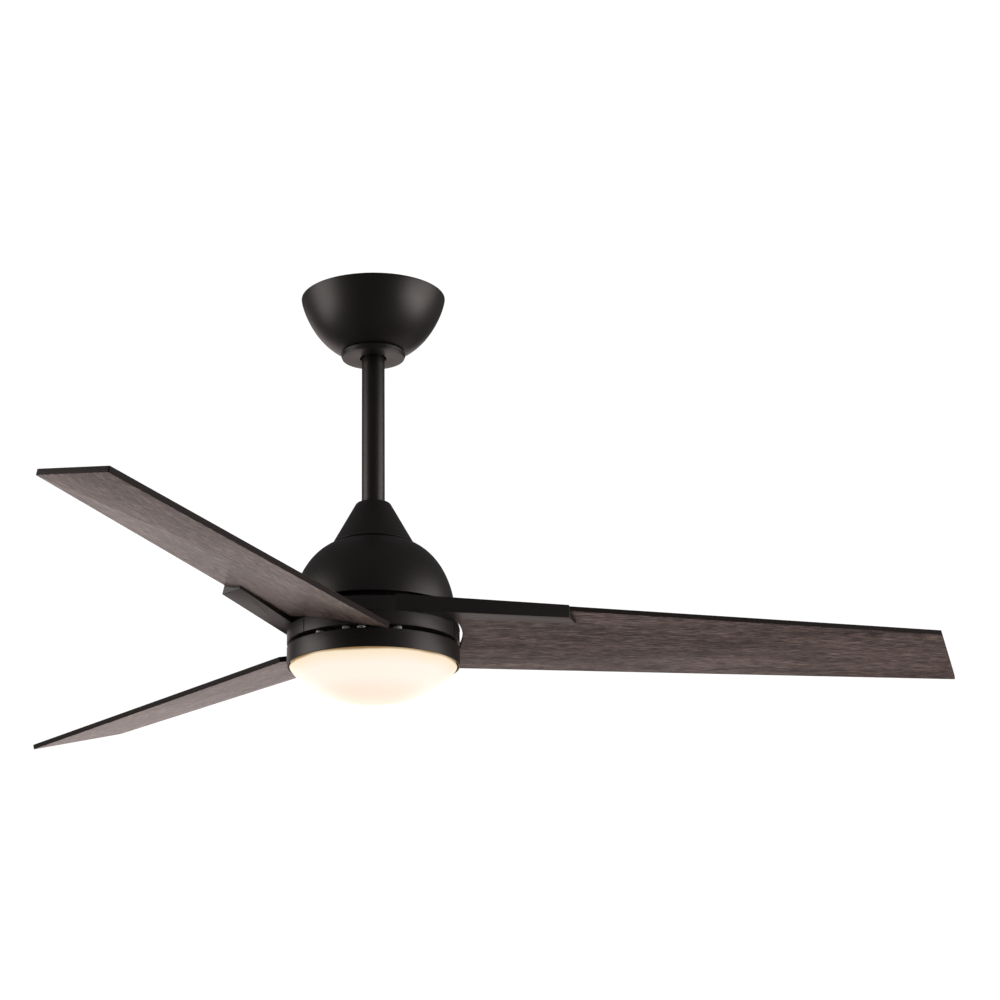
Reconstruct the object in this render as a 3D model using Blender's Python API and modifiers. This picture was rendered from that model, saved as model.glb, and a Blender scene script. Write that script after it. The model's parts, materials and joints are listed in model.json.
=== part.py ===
"""Ceiling fan with light: three blades on a downrod, drum light with a frosted glass shade.

Metres, +Z up. The origin is the middle of the hanger bracket's top face, where it meets the ceiling.
Everything hangs below it. The blades turn about Z.
"""
import math

import bmesh
import bpy
from mathutils import Matrix, Vector

# Driving dimensions
GAP = 0.0003                    # clearance between pieces that touch
STEPS = 32                      # facets round a large turned piece
SMALL_STEPS = 16                # facets round a small turned piece

ROD_R = 0.0127                  # one inch downrod
ROD_WALL = 0.0015
ROD_LENGTH = 0.254
ROD_TOP = -0.0319

CANOPY_R = 0.0805
CANOPY_HEIGHT = 0.0698          # height of the full bowl curve, cut short by the flat base
CANOPY_WALL = 0.0012
CANOPY_FLAT = -0.0640           # underside of the canopy's flat base
CANOPY_HOLE_R = 0.0200
COVER_R = 0.0357
COVER_TOP = -0.0645
COVER_BOTTOM = -0.0709
COVER_HOLE_R = 0.0148

BALL_R = 0.0210
BALL_Z = -0.0450

BLADE_Z = -0.3939               # underside of a blade on its own radial line
BLADE_ANGLES = [math.radians(5.3 + 120 * k) for k in range(3)]
PITCH = math.radians(13.77)
BLADE_THICK = 0.0060

CONE_TOP = BLADE_Z + 0.1536
CONE_SHOULDER = BLADE_Z + 0.1505
CONE_FOOT = BLADE_Z + 0.1064
DOME_R = 0.0880
DOME_BOTTOM = BLADE_Z + 0.0320
DOME_HEIGHT = 0.0799            # height of the full dome curve, cut short by its flat crown
DOME_WALL = 0.0015
SHAFT_R = 0.0080
HUB_R = 0.0930
HUB_BOTTOM = BLADE_Z - 0.0055
HUB_TOP = BLADE_Z + 0.0260
LIGHT_TOP = BLADE_Z - 0.0100
LIGHT_BOTTOM = BLADE_Z - 0.0300
LIGHT_WALL = 0.0015
GLASS_R = 0.0900
GLASS_DEPTH = 0.0377
GLASS_WALL = 0.0030

# Blade outline and arm, as (distance out, distance towards the leading edge) in the blade's own plane
LEAD_ROOT, LEAD_TIP = Vector((0.0470, 0.0878)), Vector((0.6150, 0.0417))
TRAIL_ROOT, TRAIL_TIP = Vector((0.0915, -0.0615)), Vector((0.6605, -0.0618))
ROOT_R = 0.0962                 # blade's root edge, round the hub
ARM_WALL = 0.0021               # arm's outer face, ahead of the blade's leading edge
ARM_END, ARM_END_INNER = 0.2010, 0.2125
ARM_LEDGE = (0.0520, -0.0891)   # ledge's inner edge: at 0.2 m out, and its slope
ARM_LIP = 0.0005                # arm's wall above the blade's top
ARM_LOW = BLADE_Z + 0.0097      # arm's flat underside, level with the upper band's lower edge
BLADE_SCREWS = [(0.105, 0.0718), (0.147, 0.0682), (0.188, 0.0647)]

SEAM_LEAD = math.radians(27.3)  # a holder's casting starts this far ahead of its blade
SEAM_GAP = math.radians(0.8)
HOLDER_SCREW_R = 0.0815
HOLDER_SCREW_LEADS = [math.radians(a) for a in (77.0, 115.5)]
HOLDER_HEAD = 0.0020
YOKE_PIN_Z = BLADE_Z + 0.1280


# ---------------------------------------------------------------- helpers
def clear_scene():
    for obj in list(bpy.data.objects):
        bpy.data.objects.remove(obj, do_unlink=True)


def collection(name):
    made = bpy.data.collections.new(name)
    bpy.context.scene.collection.children.link(made)
    return made


def finish_material(name, colour, roughness, metallic):
    mat = bpy.data.materials.new(name)
    mat.use_nodes = True
    shader = mat.node_tree.nodes["Principled BSDF"]
    shader.inputs["Base Color"].default_value = (*colour, 1)
    shader.inputs["Roughness"].default_value = roughness
    shader.inputs["Metallic"].default_value = metallic
    return mat


def add_object(name, bm, mat, smooth=True):
    """Turn a bmesh into a named part with outward faces."""
    bmesh.ops.recalc_face_normals(bm, faces=bm.faces)
    mesh = bpy.data.meshes.new(name)
    bm.to_mesh(mesh)
    bm.free()
    if smooth:
        mesh.shade_smooth()
        mesh.set_sharp_from_angle(angle=math.radians(35))
    obj = bpy.data.objects.new(name, mesh)
    if mat:
        mesh.materials.append(mat)
        PARTS.objects.link(obj)
    else:
        CUTTERS.objects.link(obj)
        obj.hide_render = True
        obj.display_type = "WIRE"
    return obj


def turned(name, profile, mat, closed=True, steps=STEPS):
    """Turn a profile of (radius, height) about Z. It runs down the outer side first."""
    mesh = bpy.data.meshes.new(name)
    count = len(profile)
    edges = [(i, i + 1) for i in range(count - 1)]
    if closed:
        edges.append((count - 1, 0))
    mesh.from_pydata([(r, 0, z) for r, z in profile], edges, [])
    obj = bpy.data.objects.new(name, mesh)
    if mat:
        mesh.materials.append(mat)
        PARTS.objects.link(obj)
    else:
        CUTTERS.objects.link(obj)
        obj.hide_render = True
        obj.display_type = "WIRE"
    screw = obj.modifiers.new("Turn", "SCREW")
    screw.steps = screw.render_steps = steps
    screw.use_merge_vertices = True
    screw.merge_threshold = 0.00001
    screw.use_smooth_shade = True
    return obj


def rod_between(name, start, end, radius, mat, sides=12):
    """A round bar from one point to another."""
    start, end = Vector(start), Vector(end)
    bm = bmesh.new()
    bmesh.ops.create_cone(bm, cap_ends=True, segments=sides, radius1=radius, radius2=radius,
                          depth=(end - start).length)
    turn = (end - start).to_track_quat("Z", "Y").to_matrix().to_4x4()
    bmesh.ops.transform(bm, verts=bm.verts, matrix=Matrix.Translation((start + end) / 2) @ turn)
    return add_object(name, bm, mat)


def block(name, low, high, mat):
    low, high = Vector(low), Vector(high)
    bm = bmesh.new()
    bmesh.ops.create_cube(bm, size=1)
    bmesh.ops.scale(bm, verts=bm.verts, vec=high - low)
    bmesh.ops.translate(bm, verts=bm.verts, vec=(low + high) / 2)
    return add_object(name, bm, mat, smooth=False)


def slab(name, outline, low, high, mat, place=None):
    """A flat outline of (x, y) given a thickness from low to high, then placed."""
    bm = bmesh.new()
    face = bm.faces.new([bm.verts.new((x, y, low)) for x, y in outline])
    pushed = bmesh.ops.extrude_face_region(bm, geom=[face])
    top = [v for v in pushed["geom"] if isinstance(v, bmesh.types.BMVert)]
    bmesh.ops.translate(bm, verts=top, vec=(0, 0, high - low))
    if place:
        bmesh.ops.transform(bm, verts=bm.verts, matrix=place)
    return add_object(name, bm, mat)


def swept_profile(name, profile, start, sweep, steps, mat):
    """A closed profile of (radius, height) swept part of the way round Z."""
    bm = bmesh.new()
    face = bm.faces.new([bm.verts.new((r, 0, z)) for r, z in profile])
    bmesh.ops.rotate(bm, verts=bm.verts, cent=(0, 0, 0), matrix=Matrix.Rotation(start, 3, "Z"))
    bmesh.ops.spin(bm, geom=[face], cent=(0, 0, 0), axis=(0, 0, 1), angle=sweep, steps=steps)
    return add_object(name, bm, mat)


def boolean(target, others, operation):
    """Cut from or join to a part. A joined helper is hidden like a cutter."""
    for other in others:
        mod = target.modifiers.new(operation.title(), "BOOLEAN")
        mod.operation = operation
        mod.solver = "EXACT"
        mod.object = other


def screw(name, head_at, point, head_r, shank_r, head_thick, mat):
    """A pan-head screw: head face at head_at, tip at point."""
    head_at, point = Vector(head_at), Vector(point)
    length = (point - head_at).length
    profile = [(0, 0), (head_r * 0.85, 0), (head_r, head_thick),
               (shank_r, head_thick), (shank_r, length), (0, length)]
    profile = [(r, -z) for r, z in profile]
    obj = turned(name, profile, mat, closed=False, steps=8)
    aim = (point - head_at).to_track_quat("-Z", "Y")
    obj.rotation_mode = "QUATERNION"
    obj.rotation_quaternion = aim
    obj.location = head_at
    return obj


# ---------------------------------------------------------------- curves that shape the covers
def canopy_radius(z):
    t = -z / CANOPY_HEIGHT
    return CANOPY_R * (1 - t ** 1.339) ** (1 / 2.58)


def dome_radius(z):
    t = (z - DOME_BOTTOM) / DOME_HEIGHT
    return DOME_R * (1 - t ** 1.724) ** (1 / 2.945)


def spaced(low, high, count):
    return [low + (high - low) * i / (count - 1) for i in range(count)]


def bowl_profile(radius_at, high, low, count, wall):
    """Outer side down from high to low, then the inner side back up, a wall inside it."""
    levels = spaced(high, low, count)
    outer = [(radius_at(z), z) for z in levels]
    inner = [(radius_at(z) - wall, z) for z in reversed(levels)]
    return outer, inner


# ---------------------------------------------------------------- ceiling pieces
def make_hanger_bracket():
    """A box frame of strip steel whose foot widens into a round seat for the ball."""
    half_x, half_y, sheet = 0.0360, 0.0130, 0.0025
    foot = -0.0550
    bracket = block("hanger_bracket", (-half_x, -half_y, foot - sheet), (half_x, half_y, 0), STEEL)
    window = block("cut_window", (sheet - half_x, -0.02, foot), (half_x - sheet, 0.02, -sheet), None)
    boolean(bracket, [window], "DIFFERENCE")
    seat = rod_between("join_seat", (0, 0, foot - sheet - 0.0003), (0, 0, foot + 0.0003), 0.032, None, STEPS)
    boolean(bracket, [seat], "UNION")
    hole = rod_between("cut_seat", (0, 0, foot - 0.01), (0, 0, foot + 0.01), 0.0188, None, STEPS)
    slot = block("cut_slot", (-0.0135, 0, foot - 0.01), (0.0135, 0.05, foot + 0.01), None)
    holes = [rod_between(f"cut_canopy_screw_{side}", (side * 0.027, 0, -0.07), (side * 0.027, 0, -0.05),
                         0.0023, None) for side in (-1, 1)]
    slots = [block(f"cut_box_slot_{side}", (side * 0.029 - 0.006, -0.0025, -0.01),
                   (side * 0.029 + 0.006, 0.0025, 0.01), None) for side in (-1, 1)]
    boolean(bracket, [hole, slot] + holes + slots, "DIFFERENCE")


def make_canopy():
    rim, base = -0.0005, -0.0635
    outer, inner = bowl_profile(canopy_radius, rim, base, 9, CANOPY_WALL)
    floor_in = CANOPY_FLAT + CANOPY_WALL
    inner = [(r, max(z, floor_in)) for r, z in inner if z > floor_in - 0.004]
    profile = outer + [(CANOPY_HOLE_R, CANOPY_FLAT), (CANOPY_HOLE_R, floor_in)] + inner[1:]
    canopy = turned("canopy", profile, BLACK)
    holes = [rod_between(f"cut_canopy_{side}", (side * 0.027, 0, -0.07), (side * 0.027, 0, -0.06),
                         0.0023, None) for side in (-1, 1)]
    boolean(canopy, holes, "DIFFERENCE")
    for i, side in enumerate((-1, 1), 1):
        screw(f"canopy_screw_{i}", (side * 0.027, 0, CANOPY_FLAT - GAP - 0.0022),
              (side * 0.027, 0, -0.0535), 0.0040, 0.0019, 0.0022, STEEL)


def make_canopy_cover():
    wall = 0.0012
    step = 0.0008
    turned("canopy_cover", [
        (COVER_R - step, COVER_TOP), (COVER_R, COVER_TOP - 0.0012), (COVER_R, COVER_TOP - 0.0038),
        (COVER_R - step, COVER_TOP - 0.0044), (COVER_R - step, COVER_BOTTOM + 0.0006),
        (COVER_R - 2 * step, COVER_BOTTOM), (COVER_HOLE_R, COVER_BOTTOM),
        (COVER_HOLE_R, COVER_BOTTOM + wall), (COVER_R - 2 * step - wall, COVER_BOTTOM + wall),
        (COVER_R - step - wall, COVER_TOP)], BLACK)


def make_receiver():
    low, high = Vector((-0.0325, -0.0125, -0.0240)), Vector((0.0325, 0.0125, -0.0050))
    case = block("remote_receiver", low, high, PLASTIC)
    bevel = case.modifiers.new("Edges", "BEVEL")
    bevel.width = 0.0015
    bevel.segments = 2


# ---------------------------------------------------------------- downrod and its fittings
def make_hanger_ball():
    cut = 0.0155                                # half height of the ball between its flats
    angle = math.asin(cut / BALL_R)
    arc = [angle - 2 * angle * i / 6 for i in range(7)]
    outer = [(BALL_R * math.cos(a), BALL_Z + BALL_R * math.sin(a)) for a in arc]
    hole = ROD_R + GAP
    ball = turned("hanger_ball", outer + [(hole, BALL_Z - cut), (hole, BALL_Z + cut)], BLACK_PLASTIC,
                  steps=24)
    pin_hole = rod_between("cut_ball_pin", (-0.03, 0, BALL_Z), (0.03, 0, BALL_Z), 0.0033, None)
    set_hole = rod_between("cut_ball_set", (0, -0.03, BALL_Z + 0.007), (0, -0.01, BALL_Z + 0.007),
                           0.0028, None)
    boolean(ball, [pin_hole, set_hole], "DIFFERENCE")
    rod_between("ball_pin", (-0.0190, 0, BALL_Z), (0.0190, 0, BALL_Z), 0.0030, STEEL)
    rod_between("ball_set_screw", (0, -0.0189, BALL_Z + 0.007), (0, -ROD_R - GAP, BALL_Z + 0.007),
                0.0025, STEEL)


def make_downrod():
    bottom = ROD_TOP - ROD_LENGTH
    inner = ROD_R - ROD_WALL
    rod = turned("downrod", [(ROD_R, ROD_TOP), (ROD_R, bottom), (inner, bottom), (inner, ROD_TOP)],
                 BLACK, steps=24)
    holes = [rod_between(f"cut_rod_{i}", (-0.03, 0, z), (0.03, 0, z), 0.0033, None)
             for i, z in enumerate((BALL_Z, YOKE_PIN_Z))]
    boolean(rod, holes, "DIFFERENCE")


def make_yoke():
    """The coupling on top of the motor: a flange under the dome's crown and a neck for the rod."""
    low, high = BLADE_Z + 0.0960, BLADE_Z + 0.1460
    ledge = BLADE_Z + 0.1067
    neck, flange = 0.0180, 0.0310
    rod_seat = ROD_TOP - ROD_LENGTH - GAP
    yoke = turned("yoke", [
        (neck, high), (neck, ledge), (flange, ledge), (flange, low), (SHAFT_R + GAP, low),
        (SHAFT_R + GAP, rod_seat), (ROD_R + GAP, rod_seat), (ROD_R + GAP, high)], STEEL, steps=24)
    cross = rod_between("cut_yoke_pin", (-0.03, 0, YOKE_PIN_Z), (0.03, 0, YOKE_PIN_Z), 0.0033, None)
    set_z = BLADE_Z + 0.1180
    set_hole = rod_between("cut_yoke_set", (0, -0.03, set_z), (0, -0.01, set_z), 0.0033, None)
    crown = [rod_between(f"cut_yoke_crown_{i}", (x, y, low - 0.001), (x, y, ledge + 0.001), 0.0021, None)
             for i, (x, y) in enumerate(crown_screw_places())]
    boolean(yoke, [cross, set_hole] + crown, "DIFFERENCE")
    pin = rod_between("yoke_pin", (-0.0245, 0, YOKE_PIN_Z), (0.0245, 0, YOKE_PIN_Z), 0.0030, STEEL)
    clip_hole = rod_between("cut_clip", (0.0212, 0, YOKE_PIN_Z - 0.01), (0.0212, 0, YOKE_PIN_Z + 0.01),
                            0.0012, None, 8)
    boolean(pin, [clip_hole], "DIFFERENCE")
    rod_between("yoke_set_screw", (0, -0.0240, set_z), (0, -ROD_R - GAP, set_z), 0.0030, STEEL)
    make_hairpin_clip()


def make_hairpin_clip():
    """Spring clip through the end of the coupling pin: one straight leg and one bowed leg."""
    wire = 0.0008
    x = 0.0212
    route = [(0, -0.0070), (0, 0.0085)]
    route += [(0.0035 - 0.0035 * math.cos(a), 0.0085 + 0.0035 * math.sin(a))
              for a in (math.radians(30 * i) for i in range(1, 6))]
    route += [(0.0070, 0.0085), (0.0052, 0.0050), (0.0045, 0), (0.0052, -0.0045)]
    curve = bpy.data.curves.new("yoke_clip", "CURVE")
    curve.dimensions = "3D"
    curve.bevel_depth = wire
    curve.bevel_resolution = 1
    curve.use_fill_caps = True
    spline = curve.splines.new("POLY")
    spline.points.add(len(route) - 1)
    for point, (y, z) in zip(spline.points, route):
        point.co = (x, y, YOKE_PIN_Z + z, 1)
    obj = bpy.data.objects.new("yoke_clip", curve)
    curve.materials.append(STEEL)
    PARTS.objects.link(obj)


def crown_screw_places():
    return [(0.0260 * math.cos(a), 0.0260 * math.sin(a))
            for a in (math.radians(90 + 120 * i) for i in range(3))]


def make_coupling_cover():
    wall, rise = 0.0013, 0.5326                 # rise: radius gained per metre of drop
    top_r, hole = 0.0172, ROD_R + 0.0005
    shoulder = 0.0213
    foot_r = shoulder + (CONE_SHOULDER - CONE_FOOT) * rise
    turned("coupling_cover", [
        (top_r, CONE_TOP), (0.0199, CONE_TOP - 0.0011), (shoulder, CONE_SHOULDER),
        (foot_r, CONE_FOOT), (foot_r - wall * 1.13, CONE_FOOT),
        (shoulder - wall * 1.13, CONE_SHOULDER), (0.0175, CONE_TOP - wall), (hole, CONE_TOP - wall),
        (hole, CONE_TOP)], BLACK)


# ---------------------------------------------------------------- motor
def make_motor_dome():
    crown = BLADE_Z + 0.1085
    outer, inner = bowl_profile(dome_radius, crown, DOME_BOTTOM, 10, DOME_WALL)
    ceiling = crown - DOME_WALL
    inner = [(r, min(z, ceiling)) for r, z in inner if z < ceiling + 0.003]
    hole = 0.0185
    dome = turned("motor_dome", [(hole, crown)] + outer + inner + [(hole, ceiling)], BLACK)
    holes = []
    for i, (x, y) in enumerate(crown_screw_places(), 1):
        holes.append(rod_between(f"cut_crown_{i}", (x, y, crown - 0.01), (x, y, crown + 0.01), 0.0021, None))
        screw(f"dome_screw_{i}", (x, y, crown + GAP + 0.0018), (x, y, crown - 0.0080), 0.0036, 0.0018,
              0.0018, STEEL)
    boolean(dome, holes, "DIFFERENCE")


def make_shaft():
    top, bottom = BLADE_Z + 0.1064, BLADE_Z - 0.0200
    turned("motor_shaft", [(SHAFT_R, top), (SHAFT_R, bottom), (0.0052, bottom), (0.0052, top)], STEEL,
           steps=SMALL_STEPS)
    nut_low, nut_high = BLADE_Z - 0.0185, BLADE_Z - 0.0121
    nut = rod_between("shaft_nut", (0, 0, nut_low), (0, 0, nut_high), 0.0135, STEEL, 6)
    bore = rod_between("cut_nut", (0, 0, nut_low - 0.001), (0, 0, nut_high + 0.001), SHAFT_R + GAP, None,
                       SMALL_STEPS)
    boolean(nut, [bore], "DIFFERENCE")


def make_stator():
    poles = 12
    low, high = BLADE_Z + 0.0260, BLADE_Z + 0.0500
    core = turned("stator_core", [(0.0660, high), (0.0660, low), (SHAFT_R + GAP, low),
                                  (SHAFT_R + GAP, high)], STEEL)
    slots, bars = [], []
    for i in range(poles):
        turn = Matrix.Rotation(2 * math.pi * i / poles, 4, "Z")
        slots.append(slab(f"cut_slot_{i}", [(0.040, -0.0045), (0.070, -0.0045), (0.070, 0.0045),
                                            (0.040, 0.0045)], low - 0.002, high + 0.002, None, turn))
        bars.append(slab(f"join_bar_{i}", [(0.0410, -0.0041), (0.0600, -0.0041), (0.0600, 0.0041),
                                           (0.0410, 0.0041)], low - 0.003, high + 0.003, None, turn))
    boolean(core, slots, "DIFFERENCE")
    ring = turned("stator_windings", [(0.0610, high + 0.0055), (0.0610, high + GAP), (0.0405, high + GAP),
                                      (0.0405, high + 0.0055)], COPPER)
    lower = turned("join_lower_ring", [(0.0610, low - GAP), (0.0610, low - 0.0055),
                                       (0.0405, low - 0.0055), (0.0405, low - GAP)], None)
    boolean(ring, bars + [lower], "UNION")


def make_rotor():
    flange_z = BLADE_Z + 0.0143
    seat = 0.0163
    plate_low, plate_high = BLADE_Z + 0.0600, BLADE_Z + 0.0630
    turned("rotor_cover", [
        (0.0200, BLADE_Z + 0.0660), (0.0200, plate_high), (0.0740, plate_high), (0.0760, plate_high - 0.002),
        (0.0760, flange_z + 0.003), (0.0840, flange_z + 0.003), (0.0840, flange_z), (0.0730, flange_z),
        (0.0730, plate_low), (0.0200, plate_low), (0.0200, BLADE_Z + 0.0560), (seat, BLADE_Z + 0.0560),
        (seat, BLADE_Z + 0.0660)], ALUMINIUM)
    base_low = BLADE_Z - 0.0024
    base = turned("rotor_base", [
        (0.0860, BLADE_Z + 0.0140), (0.0860, base_low), (seat, base_low), (seat, BLADE_Z + 0.0090),
        (0.0200, BLADE_Z + 0.0090), (0.0200, BLADE_Z + 0.0040), (0.0700, BLADE_Z + 0.0040),
        (0.0700, BLADE_Z + 0.0140)], ALUMINIUM)
    holes = []
    for i, angle in enumerate(holder_screw_angles()):
        x, y = HOLDER_SCREW_R * math.cos(angle), HOLDER_SCREW_R * math.sin(angle)
        holes.append(rod_between(f"cut_base_{i}", (x, y, base_low - 0.002), (x, y, base_low + 0.009),
                                 0.0022, None, 10))
    boolean(base, holes, "DIFFERENCE")
    turned("magnet_ring", [(0.0727, BLADE_Z + 0.0540), (0.0727, BLADE_Z + 0.0220),
                           (0.0680, BLADE_Z + 0.0220), (0.0680, BLADE_Z + 0.0540)], DARK_IRON)


def make_bearings():
    for name, middle in (("upper", BLADE_Z + 0.0610), ("lower", BLADE_Z + 0.0035)):
        low, high = middle - 0.0045, middle + 0.0045
        for part, inner, outer in (("inner", SHAFT_R + GAP, 0.0110), ("outer", 0.0125, 0.0160)):
            turned(f"bearing_{name}_{part}", [(outer, high), (outer, low), (inner, low), (inner, high)],
                   STEEL, steps=SMALL_STEPS)


# ---------------------------------------------------------------- blades and their holders
def holder_screw_angles():
    return [angle - lead for angle in BLADE_ANGLES for lead in HOLDER_SCREW_LEADS]


def blade_place(angle):
    """Blade frame: X out along the blade, Y towards the leading edge, Z up through the board.

    The blades turn clockwise seen from above, so the leading side is on the right of X.
    """
    out = Vector((math.cos(angle), math.sin(angle), 0))
    lead = Vector((math.sin(angle), -math.cos(angle), 0)) * math.cos(PITCH) + Vector((0, 0, math.sin(PITCH)))
    up = -Vector((math.sin(angle), -math.cos(angle), 0)) * math.sin(PITCH) + Vector((0, 0, math.cos(PITCH)))
    place = Matrix.Identity(4)
    for column, vector in enumerate((out, lead, up)):
        for row in range(3):
            place[row][column] = vector[row]
    place[2][3] = BLADE_Z
    return place


def blade_outline(grow=0.0):
    """Root edge concentric with the hub, then the leading edge, the raked tip and the trailing edge."""
    root_r = ROOT_R - grow
    corner = 0.001
    points = []
    for s in spaced(-0.0200, 0.0850, 9):
        points.append((math.sqrt(root_r ** 2 - (s * math.cos(PITCH)) ** 2), s))
    points.append((LEAD_ROOT.x - 3 * grow, LEAD_ROOT.y + grow))
    points.append((LEAD_TIP.x + grow, LEAD_TIP.y + grow))
    points.append((TRAIL_TIP.x + grow, TRAIL_TIP.y - grow))
    points.append((TRAIL_ROOT.x + corner, TRAIL_ROOT.y - grow))
    points.append((TRAIL_ROOT.x - grow, TRAIL_ROOT.y + corner))
    return points[::-1]


def lead_line(out):
    return LEAD_ROOT.y + (out - LEAD_ROOT.x) * (LEAD_TIP.y - LEAD_ROOT.y) / (LEAD_TIP.x - LEAD_ROOT.x)


def ledge_line(out):
    return ARM_LEDGE[0] + (out - 0.2) * ARM_LEDGE[1]


def make_blade(index, angle):
    place = blade_place(angle)
    blade = slab(f"blade_{index}", blade_outline(), 0, BLADE_THICK, WALNUT, place)
    holes = [rod_between(f"cut_blade_{index}_{i}", place @ Vector((r, s, -0.01)),
                         place @ Vector((r, s, 0.02)), 0.0023, None, 10)
             for i, (r, s) in enumerate(BLADE_SCREWS)]
    boolean(blade, holes, "DIFFERENCE")


def make_blade_holder(index, angle):
    """Casting: a third of the hub's outer band and its floor flange, with the arm along the blade."""
    band_in = 0.0882
    sweep = 2 * math.pi / len(BLADE_ANGLES) - SEAM_GAP
    start = angle - SEAM_LEAD - SEAM_GAP / 2
    holder = swept_profile(f"blade_holder_{index}", [
        (0.0897, HUB_TOP), (0.0934, BLADE_Z + 0.0095), (HUB_R, BLADE_Z + 0.0090), (HUB_R, HUB_BOTTOM),
        (0.0690, HUB_BOTTOM), (0.0690, HUB_BOTTOM + 0.0026), (band_in + 0.002, HUB_BOTTOM + 0.0026),
        (band_in + 0.002, BLADE_Z + 0.0120), (band_in - 0.001, HUB_TOP)], start, -sweep, 12, BLACK)

    place = blade_place(angle)
    arm_root = 0.015
    arm = slab(f"join_arm_{index}", [
        (arm_root, lead_line(arm_root) + ARM_WALL), (ARM_END, lead_line(ARM_END) + ARM_WALL),
        (ARM_END_INNER, ledge_line(ARM_END_INNER)), (arm_root, ledge_line(arm_root))][::-1],
        -0.0200, BLADE_THICK + ARM_LIP, None, place)
    under = block(f"cut_under_{index}", (-0.3, -0.3, BLADE_Z - 0.05), (0.3, 0.3, ARM_LOW), None)
    channel = slab(f"cut_channel_{index}", blade_outline(GAP), -GAP, BLADE_THICK + 0.01, None, place)
    boolean(arm, [under], "DIFFERENCE")
    hollow = turned(f"cut_hollow_{index}", [(0.0872, BLADE_Z + 0.06), (0.0872, BLADE_Z - 0.0029),
                                            (0, BLADE_Z - 0.0029), (0, BLADE_Z + 0.06)], None, steps=64)
    holes = [rod_between(f"cut_arm_{index}_{i}", place @ Vector((r, s, -0.0036)),
                         place @ Vector((r, s, 0.02)), 0.0023, None, 10)
             for i, (r, s) in enumerate(BLADE_SCREWS)]
    for i, lead in enumerate(HOLDER_SCREW_LEADS):
        x, y = HOLDER_SCREW_R * math.cos(angle - lead), HOLDER_SCREW_R * math.sin(angle - lead)
        holes.append(rod_between(f"cut_flange_{index}_{i}", (x, y, HUB_BOTTOM - 0.002),
                                 (x, y, HUB_BOTTOM + 0.005), 0.0022, None, 10))
        screw(f"holder_screw_{index}_{i + 1}", (x, y, HUB_BOTTOM - GAP - HOLDER_HEAD),
              (x, y, HUB_BOTTOM + 0.0090), 0.0045, 0.0018, HOLDER_HEAD, STEEL)
    boolean(holder, [arm], "UNION")
    boolean(holder, [hollow, channel] + holes, "DIFFERENCE")
    for i, (r, s) in enumerate(BLADE_SCREWS):
        screw(f"blade_screw_{index}_{i + 1}", place @ Vector((r, s, BLADE_THICK + GAP + 0.0022)),
              place @ Vector((r, s, -0.0030)), 0.0040, 0.0019, 0.0022, STEEL)


# ---------------------------------------------------------------- light
LUG_ANGLES = [math.radians(30 + 120 * k) for k in range(3)]
LUG_SWEEP = math.radians(14)


def make_light_pan():
    inner = HUB_R - LIGHT_WALL
    roof = LIGHT_TOP - LIGHT_WALL
    lip = 0.0008
    pan = turned("light_pan", [
        (HUB_R - lip, LIGHT_TOP), (HUB_R, LIGHT_TOP - lip), (HUB_R, LIGHT_BOTTOM + lip),
        (HUB_R - lip, LIGHT_BOTTOM), (inner, LIGHT_BOTTOM), (inner, roof), (SHAFT_R + GAP, roof),
        (SHAFT_R + GAP, LIGHT_TOP)], BLACK)
    tabs = [swept_profile(f"join_tab_{k}", [
        (inner + 0.0007, BLADE_Z - 0.0262), (inner + 0.0007, BLADE_Z - 0.0276), (0.0895, BLADE_Z - 0.0276),
        (0.0895, BLADE_Z - 0.0262)], a - LUG_SWEEP / 2, LUG_SWEEP, 4, None) for k, a in enumerate(LUG_ANGLES)]
    posts = [rod_between(f"join_post_{k}", (x, y, roof + 0.0007), (x, y, BLADE_Z - 0.0240), 0.0040, None, 12)
             for k, (x, y) in enumerate(plate_screw_places())]
    boolean(pan, tabs + posts, "UNION")
    bores = [rod_between(f"cut_post_{k}", (x, y, BLADE_Z - 0.0180), (x, y, BLADE_Z - 0.0300), 0.0019, None, 10)
             for k, (x, y) in enumerate(plate_screw_places())]
    boolean(pan, bores, "DIFFERENCE")


def plate_screw_places():
    return [(0.0720 * math.cos(a), 0.0720 * math.sin(a))
            for a in (math.radians(90 + 120 * k) for k in range(3))]


def make_led_parts():
    plate_low, plate_high = BLADE_Z - 0.0258, BLADE_Z - 0.0243
    plate = turned("led_plate", [(0.0820, plate_high), (0.0820, plate_low), (0.0060, plate_low),
                                 (0.0060, plate_high)], ALUMINIUM)
    board_low, board_high = BLADE_Z - 0.0274, plate_low - GAP
    turned("led_board", [(0.0640, board_high), (0.0640, board_low), (0.0300, board_low),
                         (0.0300, board_high)], WHITE)
    holes = []
    for k, (x, y) in enumerate(plate_screw_places(), 1):
        holes.append(rod_between(f"cut_plate_{k}", (x, y, plate_low - 0.002), (x, y, plate_high + 0.002),
                                 0.0019, None, 10))
        screw(f"led_plate_screw_{k}", (x, y, plate_low - GAP - 0.0018), (x, y, BLADE_Z - 0.0190), 0.0034,
              0.0016, 0.0018, STEEL)
    boolean(plate, holes, "DIFFERENCE")
    driver = block("led_driver", (-0.0580, -0.0160, BLADE_Z - 0.0240), (-0.0180, 0.0160, BLADE_Z - 0.0118), WHITE)
    bevel = driver.modifiers.new("Edges", "BEVEL")
    bevel.width = 0.001
    bevel.segments = 2


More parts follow.
